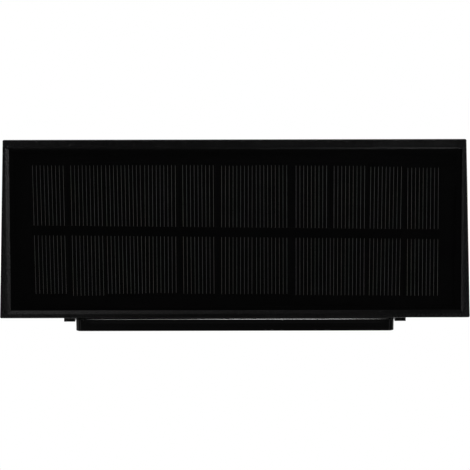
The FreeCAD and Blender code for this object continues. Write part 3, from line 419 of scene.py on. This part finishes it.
finger_points, finger_counts, finger_leans, finger_lengths = [], [], [], []
for first_x, lean, front_count, rear_count, front_start, rear_end in FINGER_SETS:
    angle = math.radians(lean)
    slant = -first_x * MM * ROW_SLANT
    for start, end, count in ((FRONT_ROW[0] + front_start * MM, FRONT_ROW[1], front_count),
                              (REAR_ROW[0], REAR_ROW[1] + rear_end * MM, rear_count)):
        middle = (start + end) / 2 + slant
        finger_points.append((first_x * MM + math.tan(angle) * (middle - FINGER_MIDDLE), middle,
                              CELL_TOP + FINGER_THICKNESS / 2))
        finger_counts.append(count)
        finger_leans.append(-angle)
        finger_lengths.append(end - start)

grow("cell_fingers", finger_points,
     {"count": ("INT", finger_counts), "lean": ("FLOAT", finger_leans), "length": ("FLOAT", finger_lengths)},
     strip_tree(silver_paste()),
     {"Pitch": FINGER_PITCH, "Width": FINGER_WIDTH, "Thickness": FINGER_THICKNESS,
      "Panel Place": PANEL_ORIGIN, "Panel Turn": (PANEL_SLOPE, 0.0, 0.0)},
     "lamp")

# The strips lie on a slightly turned line between the two rows, and the tape covers them.
CELL_COUNT = 11
CELL_PITCH = 14.98 * MM
CELLS_HALF_WIDTH = 81.99 * MM
STRIP_WIDTH, STRIP_LENGTH, STRIP_THICKNESS = 12.58 * MM, 1.4 * MM, 0.07 * MM
STRIP_RISE = 0.04 * MM
TAPE_MIDDLE = -34.76 * MM
TAPE_TURN = math.radians(-0.68)
TAPE_HALF_WIDTH = 2.0 * MM
TAPE_FOOT, TAPE_TOP = CELL_TOP + 0.08 * MM, CELL_TOP + 0.18 * MM

cell_middles = [(n - CELL_COUNT // 2) * CELL_PITCH for n in range(CELL_COUNT)]
joining_strips = grow("joining_strips",
                      [(x, TAPE_MIDDLE + x * math.tan(TAPE_TURN), CELL_TOP + STRIP_RISE) for x in cell_middles],
                      {"count": ("INT", [1] * CELL_COUNT), "lean": ("FLOAT", [TAPE_TURN] * CELL_COUNT),
                       "length": ("FLOAT", [STRIP_LENGTH] * CELL_COUNT)},
                      strip_tree(tinned_strip),
                      {"Width": STRIP_WIDTH, "Thickness": STRIP_THICKNESS,
                       "Panel Place": PANEL_ORIGIN, "Panel Turn": (PANEL_SLOPE, 0.0, 0.0)},
                      "lamp")
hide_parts("cell_ribbons")

tape_corners = ((-CELLS_HALF_WIDTH, TAPE_MIDDLE - TAPE_HALF_WIDTH),
                (CELLS_HALF_WIDTH, TAPE_MIDDLE + TAPE_HALF_WIDTH))
mask_tape = slab("mask_tape", tape_corners, TAPE_FOOT, TAPE_TOP, TAPE_TURN, (0.0, TAPE_MIDDLE))
mask_tape.data.materials.append(black_film)
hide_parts("ribbon_mask")


# ---- Panel cover, sealant and adhesive ----
# A clear sheet is bonded over the cells, so no air shows between, and is bedded in the rim
# with black sealant. Two strips of adhesive hold the board to the housing's floor.

def clear_finish(name, tint, rough):
    """Clear sheet with faint wipe marks in its gloss."""
    material, tree, shader, place = new_finish(name, IOR=1.49, Transmission_Weight=1.0)
    clouds = put(tree, "ShaderNodeGroup", node_tree=cloudy_change)
    tree.links.new(place, clouds.inputs["Place"])
    clouds.inputs["Patch Size"].default_value = 0.03
    amount = clouds.outputs["Amount"]
    tree.links.new(mix_colour(tree, amount, tint, (1.0, 1.0, 1.0)), shader.inputs["Base Color"])
    tree.links.new(mix_value(tree, amount, *rough), shader.inputs["Roughness"])
    return material


COVER_HALF_WIDTH = 88.99 * MM
COVER_FRONT, COVER_REAR = -67.4 * MM, -3.8 * MM
COVER_TOP, COVER_FOOT = -0.8 * MM, -2.12 * MM
COVER_EDGE = 0.15 * MM

cover_shape = block(((-COVER_HALF_WIDTH, COVER_FRONT), (COVER_HALF_WIDTH, COVER_REAR)), COVER_FOOT, COVER_TOP)
bmesh.ops.bevel(cover_shape, geom=list(cover_shape.edges), offset=COVER_EDGE, segments=2,
                affect="EDGES", profile=0.5)
bonded_cover = on_panel("bonded_cover", cover_shape)
bonded_cover.data.materials.append(clear_finish("clear_cover", (0.97, 0.97, 0.98), (0.02, 0.05)))
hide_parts("panel_cover")

# The bead's outline against the rim, and how far it laps over the cover.
WINDOW = ((-90.49 * MM, -68.1 * MM), (89.69 * MM, -68.1 * MM),
          (90.29 * MM, -3.1 * MM), (-91.09 * MM, -3.1 * MM))
BEAD_LAP = 0.6 * MM
BEAD_TOP, BEAD_LIP, BEAD_FOOT = -0.77 * MM, -0.86 * MM, -3.4 * MM


def sealant_bead():
    """A ring that fills the gap round the panel and laps over the cover's edge."""
    edge = ((-COVER_HALF_WIDTH, COVER_FRONT), (COVER_HALF_WIDTH, COVER_FRONT),
            (COVER_HALF_WIDTH, COVER_REAR), (-COVER_HALF_WIDTH, COVER_REAR))
    lap = [(x - math.copysign(BEAD_LAP, x), v + BEAD_LAP if v == COVER_FRONT else v - BEAD_LAP)
           for x, v in edge]
    rings = ((WINDOW, BEAD_TOP), (lap, BEAD_TOP), (lap, BEAD_LIP),
             (edge, BEAD_LIP), (edge, BEAD_FOOT), (WINDOW, BEAD_FOOT))
    shape = bmesh.new()
    corners = [[shape.verts.new((x, v, w)) for x, v in ring] for ring, w in rings]
    for k, ring in enumerate(corners):
        following = corners[(k + 1) % len(corners)]
        for n in range(4):
            m = (n + 1) % 4
            shape.faces.new((ring[n], ring[m], following[m], following[n]))
    bmesh.ops.recalc_face_normals(shape, faces=shape.faces)
    return on_panel("sealant_bead", shape)


sealant_black = moulded_finish("sealant_black", (0.0004, 0.0004, 0.0004), (0.0008, 0.0008, 0.0008),
                               grain=0.002, depth=0.00002, rough=(0.6, 0.7), shine=0.04)
bead = sealant_bead()
bead.data.materials.append(sealant_black)
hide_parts("panel_sealant")

adhesive_film = moulded_finish("adhesive_film", (0.25, 0.25, 0.24), (0.34, 0.34, 0.32),
                               grain=0.0008, depth=0.00001, rough=(0.5, 0.65))
dress(adhesive_film, "panel_adhesive")


# ---- Lamp window: lens, gasket and reflector ----
# A frosted lens sits in the sloping underside on a grey silicone gasket, over a glossy
# white tray with a hole for each LED.

def frosted_finish():
    """Frosted clear plastic, finely etched on the inside."""
    material, tree, shader, place = new_finish("frosted_lens", IOR=1.49, Transmission_Weight=0.9)
    clouds = put(tree, "ShaderNodeGroup", node_tree=cloudy_change)
    tree.links.new(place, clouds.inputs["Place"])
    clouds.inputs["Patch Size"].default_value = 0.01
    pitted = put(tree, "ShaderNodeGroup", node_tree=mould_grain)
    tree.links.new(place, pitted.inputs["Place"])
    pitted.inputs["Grain Size"].default_value = 0.0003
    amount = clouds.outputs["Amount"]
    tree.links.new(mix_colour(tree, amount, (0.90, 0.91, 0.91), (0.97, 0.97, 0.97)),
                   shader.inputs["Base Color"])
    tree.links.new(mix_value(tree, pitted.outputs["Speckle"], 0.35, 0.5), shader.inputs["Roughness"])
    raise_surface(tree, shader, pitted.outputs["Height"], 0.000012)
    return material


dress(frosted_finish(), "lens")

silicone_grey = moulded_finish("silicone_grey", (0.16, 0.16, 0.17), (0.24, 0.24, 0.25),
                               grain=0.0006, depth=0.000005, rough=(0.4, 0.55))
dress(silicone_grey, "lens_gasket", "button_seal")

white_plastic = moulded_finish("white_plastic", (0.70, 0.70, 0.69), (0.82, 0.82, 0.81),
                               grain=0.0008, depth=0.000004, rough=(0.25, 0.35))
dress(white_plastic, "reflector_tray")


# ---- LED board ----
# A white lacquered board carries twelve surface-mounted LEDs in a row and is held by two
# small screws. Each LED has a yellow phosphor window.

white_board = moulded_finish("white_lacquer", (0.68, 0.69, 0.68), (0.80, 0.81, 0.80),
                             grain=0.0005, depth=0.000005, rough=(0.32, 0.45))
dress(white_board, "led_board")

led_package = moulded_finish("led_package", (0.72, 0.71, 0.62), (0.82, 0.80, 0.70),
                             grain=0.0004, depth=0.000004, rough=(0.3, 0.4))
dress(led_package, "leds")

# The middle of the LEDs' row on their lit faces, and the way they face.
LED_MIDDLE = Vector((0.0, -52.302, -1.804)) * MM
LED_FACING = Vector((0.0, -0.6621, -0.7494))
LED_COUNT = 12
LED_PITCH = 12.0 * MM
WINDOW_RADIUS, WINDOW_DEPTH, WINDOW_RISE = 1.05 * MM, 0.06 * MM, 0.02 * MM


def window_tree(filling):
    """Sets a flat round window on each LED."""
    tree, given, result = new_mesh_tree("phosphor_windows", {
        "Radius": "NodeSocketFloat", "Depth": "NodeSocketFloat", "Turn": "NodeSocketVector"})
    size = given.outputs
    points = put(tree, "GeometryNodeMeshToPoints", {"Mesh": size["Geometry"]})
    disc = put(tree, "GeometryNodeMeshCylinder",
               {"Vertices": 24, "Radius": size["Radius"], "Depth": size["Depth"]})
    discs = put(tree, "GeometryNodeInstanceOnPoints",
                {"Points": points.outputs["Points"], "Instance": disc.outputs["Mesh"],
                 "Rotation": size["Turn"]})
    solid = put(tree, "GeometryNodeRealizeInstances", {"Geometry": discs.outputs["Instances"]})
    filled = put(tree, "GeometryNodeSetMaterial", {"Geometry": solid.outputs["Geometry"], "Material": filling})
    tree.links.new(filled.outputs["Geometry"], result.inputs["Geometry"])
    return tree


phosphor = moulded_finish("yellow_phosphor", (0.74, 0.50, 0.08), (0.84, 0.62, 0.14),
                          grain=0.0003, depth=0.000004, rough=(0.35, 0.5))
led_middles = [LED_MIDDLE + Vector(((n - (LED_COUNT - 1) / 2) * LED_PITCH, 0.0, 0.0)) for n in range(LED_COUNT)]
grow("phosphor_windows", [middle + LED_FACING * WINDOW_RISE for middle in led_middles], {},
     window_tree(phosphor),
     {"Radius": WINDOW_RADIUS, "Depth": WINDOW_DEPTH,
      "Turn": (math.atan2(-LED_FACING.y, LED_FACING.z), 0.0, 0.0)},
     "lamp")


# ---- Control board ----
# A green board on four posts charges the battery and switches the LEDs. Its chip, coil and
# capacitors are black, and three white sockets take the leads.

green_board = moulded_finish("green_lacquer", (0.010, 0.075, 0.030), (0.018, 0.12, 0.05),
                             grain=0.0006, depth=0.000006, rough=(0.25, 0.38), patch=0.004)
dress(green_board, "control_board")

board_component = moulded_finish("component_black", (0.012, 0.012, 0.013), (0.030, 0.030, 0.032),
                                 grain=0.0003, depth=0.000006, rough=(0.4, 0.55))
dress(board_component, "board_parts")

socket_white = moulded_finish("socket_white", (0.62, 0.61, 0.57), (0.74, 0.73, 0.69),
                              grain=0.0005, depth=0.000005, rough=(0.35, 0.48))
dress(socket_white, "board_sockets")


# ---- Switch and button ----
# The button cap stands under the lamp in a silicone seal and presses a latching switch on
# the board above it.

switch_black = moulded_finish("switch_black", (0.010, 0.010, 0.010), (0.022, 0.022, 0.022),
                              grain=0.0004, depth=0.000005, rough=(0.35, 0.45))
dress(switch_black, "switch_body")

plunger_white = moulded_finish("plunger_white", (0.60, 0.60, 0.58), (0.70, 0.70, 0.68),
                               grain=0.0004, depth=0.000004, rough=(0.35, 0.45))
dress(plunger_white, "switch_plunger")

button_black = moulded_finish("button_black", (0.008, 0.008, 0.008), (0.018, 0.018, 0.018),
                              grain=0.0003, depth=0.00001, rough=(0.48, 0.6), edge=0.0002)
dress(button_black, "button_cap")


# ---- Battery ----
# One round cell in a shrink film lies in a moulded cradle, between a spring plate and a
# flat contact of nickel-plated steel.

can_steel = metal_finish("can_steel", (0.55, 0.55, 0.54), (0.70, 0.70, 0.68), (0.18, 0.32))
dress(can_steel, "battery_cell")

battery_film = moulded_finish("battery_film", (0.020, 0.11, 0.16), (0.030, 0.15, 0.21),
                              grain=0.001, depth=0.000008, rough=(0.22, 0.34))
dress(battery_film, "battery_sleeve")

contact_metal = metal_finish("contact_metal", (0.60, 0.58, 0.52), (0.74, 0.72, 0.66), (0.2, 0.34))
dress(contact_metal, "battery_spring", "battery_contact")


# ---- Leads ----
# Three pairs of thin stranded leads in soft jackets run from the panel, the battery and
# the LED board to the sockets.

lead_jacket = moulded_finish("lead_jacket", (0.020, 0.020, 0.020), (0.040, 0.040, 0.040),
                             grain=0.0006, depth=0.000006, rough=(0.38, 0.5))
dress(lead_jacket, "panel_leads", "battery_leads", "led_leads")


# ---- Floor and surroundings ----
# A pale floor lies well below the lamp. Large soft panels stand low around it, two narrow
# ones and two small lamps hang over it, and the room above is dark, as over a studio table.

FLOOR_Z = -0.20
FLOOR_HALF = 3.0


def floor_finish():
    """Pale floor that the camera and shiny parts see as plain white, and clear from below."""
    material = bpy.data.materials.new("studio_floor")
    material.use_nodes = True
    tree = material.node_tree
    tree.nodes.clear()
    out = put(tree, "ShaderNodeOutputMaterial")
    pale = put(tree, "ShaderNodeBsdfDiffuse", {"Color": (0.8, 0.8, 0.8, 1.0)})
    white = put(tree, "ShaderNodeEmission", {"Color": (1.0, 1.0, 1.0, 1.0), "Strength": 1.0})
    ray = put(tree, "ShaderNodeLightPath")
    seen = put(tree, "ShaderNodeMath", {0: ray.outputs["Is Camera Ray"], 1: ray.outputs["Is Glossy Ray"]},
               operation="MAXIMUM")
    seen = put(tree, "ShaderNodeMath", {0: seen.outputs[0], 1: ray.outputs["Is Transmission Ray"]},
               operation="MAXIMUM")
    mixed = put(tree, "ShaderNodeMixShader")
    tree.links.new(seen.outputs[0], mixed.inputs[0])
    tree.links.new(pale.outputs[0], mixed.inputs[1])
    tree.links.new(white.outputs[0], mixed.inputs[2])
    facing = put(tree, "ShaderNodeNewGeometry")
    clear = put(tree, "ShaderNodeBsdfTransparent")
    final = put(tree, "ShaderNodeMixShader")
    tree.links.new(facing.outputs["Backfacing"], final.inputs[0])
    tree.links.new(mixed.outputs[0], final.inputs[1])
    tree.links.new(clear.outputs[0], final.inputs[2])
    tree.links.new(final.outputs[0], out.inputs["Surface"])
    return material


floor_mesh = bpy.data.meshes.new("floor")
floor_mesh.from_pydata([(-FLOOR_HALF, -FLOOR_HALF, FLOOR_Z), (FLOOR_HALF, -FLOOR_HALF, FLOOR_Z),
                        (FLOOR_HALF, FLOOR_HALF, FLOOR_Z), (-FLOOR_HALF, FLOOR_HALF, FLOOR_Z)], [], [(0, 1, 2, 3)])
floor_mesh.materials.append(floor_finish())
floor = bpy.data.objects.new("floor", floor_mesh)
bpy.context.scene.collection.objects.link(floor)

ROOM_LEVEL = 0.10
OVERHEAD_LEVEL = 0.012

world = bpy.data.worlds.new("room")
bpy.context.scene.world = world
world.use_nodes = True
room = world.node_tree
room.nodes.clear()
direction = put(room, "ShaderNodeTexCoord").outputs["Generated"]
height_up = put(room, "ShaderNodeSeparateXYZ", {"Vector": direction}).outputs["Z"]
level = put(room, "ShaderNodeMapRange",
            {"Value": height_up, "From Min": 0.60, "From Max": 0.93,
             "To Min": ROOM_LEVEL, "To Max": OVERHEAD_LEVEL},
            interpolation_type="SMOOTHSTEP")
around = put(room, "ShaderNodeBackground",
             {"Color": (1.0, 1.0, 1.0, 1.0), "Strength": level.outputs["Result"]})
white = put(room, "ShaderNodeBackground", {"Color": (1.0, 1.0, 1.0, 1.0), "Strength": 1.0})
ray = put(room, "ShaderNodeLightPath")
both = put(room, "ShaderNodeMixShader")
room.links.new(ray.outputs["Is Camera Ray"], both.inputs[0])
room.links.new(around.outputs[0], both.inputs[1])
room.links.new(white.outputs[0], both.inputs[2])
room.links.new(both.outputs[0], put(room, "ShaderNodeOutputWorld").inputs["Surface"])


def soft_panel(name, place, width, height, level, shape="RECTANGLE"):
    """A flat light at a place in metres that faces the lamp, with an even brightness of level."""
    lamp_data = bpy.data.lights.new(name, "AREA")
    lamp_data.shape = shape
    lamp_data.size = width
    lamp_data.size_y = height
    lamp_data.energy = level * math.pi * width * height * (math.pi / 4 if shape == "ELLIPSE" else 1.0)
    made = bpy.data.objects.new(name, lamp_data)
    made.location = place
    made.rotation_euler = (LAMP_MIDDLE - Vector(place)).to_track_quat("-Z", "Y").to_euler()
    bpy.context.scene.collection.objects.link(made)


LAMP_MIDDLE = Vector((0.0, -0.04, 0.02))
soft_panel("panel_right", (-0.95, -0.32, 0.52), 0.9, 0.7, 2.1)
soft_panel("panel_front", (0.60, -0.93, 0.58), 0.9, 0.7, 1.4)
soft_panel("panel_rear", (-0.50, 1.00, 0.30), 0.8, 0.6, 1.3)
soft_panel("panel_left", (0.95, 0.38, 0.45), 0.8, 0.6, 0.9)
soft_panel("high_right", (-0.37, 0.12, 0.92), 0.5, 0.22, 0.8)
soft_panel("high_left", (0.37, 0.12, 0.92), 0.5, 0.22, 0.8)
soft_panel("small_lamp", (-0.022, -0.37, 0.80), 0.31, 0.07, 8.5, "ELLIPSE")
soft_panel("middle_lamp", (-0.040, -0.37, 0.80), 0.15, 0.07, 15.0, "ELLIPSE")


# ---- Camera ----
# It looks down on the panel, a little from the front, with the fence side at the bottom of
# the picture and a very slight roll.

CAMERA_TILT = math.radians(13.7)
CAMERA_DISTANCE = 0.700
CAMERA_ROLL = math.radians(0.124)
CAMERA_AIM_V = -33.85 * MM
FRAME_PIXELS = 470.0
FOCAL_PIXELS = 1750.0
SHIFT_PIXELS = 0.28
SENSOR_WIDTH = 36.0

aim = PANEL_ORIGIN + Vector((0.0, math.cos(PANEL_SLOPE), math.sin(PANEL_SLOPE))) * CAMERA_AIM_V
backward = Vector((0.0, -math.sin(CAMERA_TILT), math.cos(CAMERA_TILT)))
level_right = Vector((-1.0, 0.0, 0.0))
level_up = backward.cross(level_right)
right = level_right * math.cos(CAMERA_ROLL) - level_up * math.sin(CAMERA_ROLL)
up = level_right * math.sin(CAMERA_ROLL) + level_up * math.cos(CAMERA_ROLL)
camera_data = bpy.data.cameras.new("camera")
camera_data.sensor_width = SENSOR_WIDTH
camera_data.lens = SENSOR_WIDTH * FOCAL_PIXELS / FRAME_PIXELS
camera_data.shift_x = SHIFT_PIXELS / FRAME_PIXELS
camera_data.clip_start = 0.01
camera_data.clip_end = 20.0
camera = bpy.data.objects.new("camera", camera_data)
turned = Matrix((right, up, backward)).transposed().to_4x4()
camera.matrix_world = Matrix.Translation(aim + backward * CAMERA_DISTANCE) @ turned
bpy.context.scene.collection.objects.link(camera)
bpy.context.scene.camera = camera

bpy.context.scene.view_settings.view_transform = "Standard"
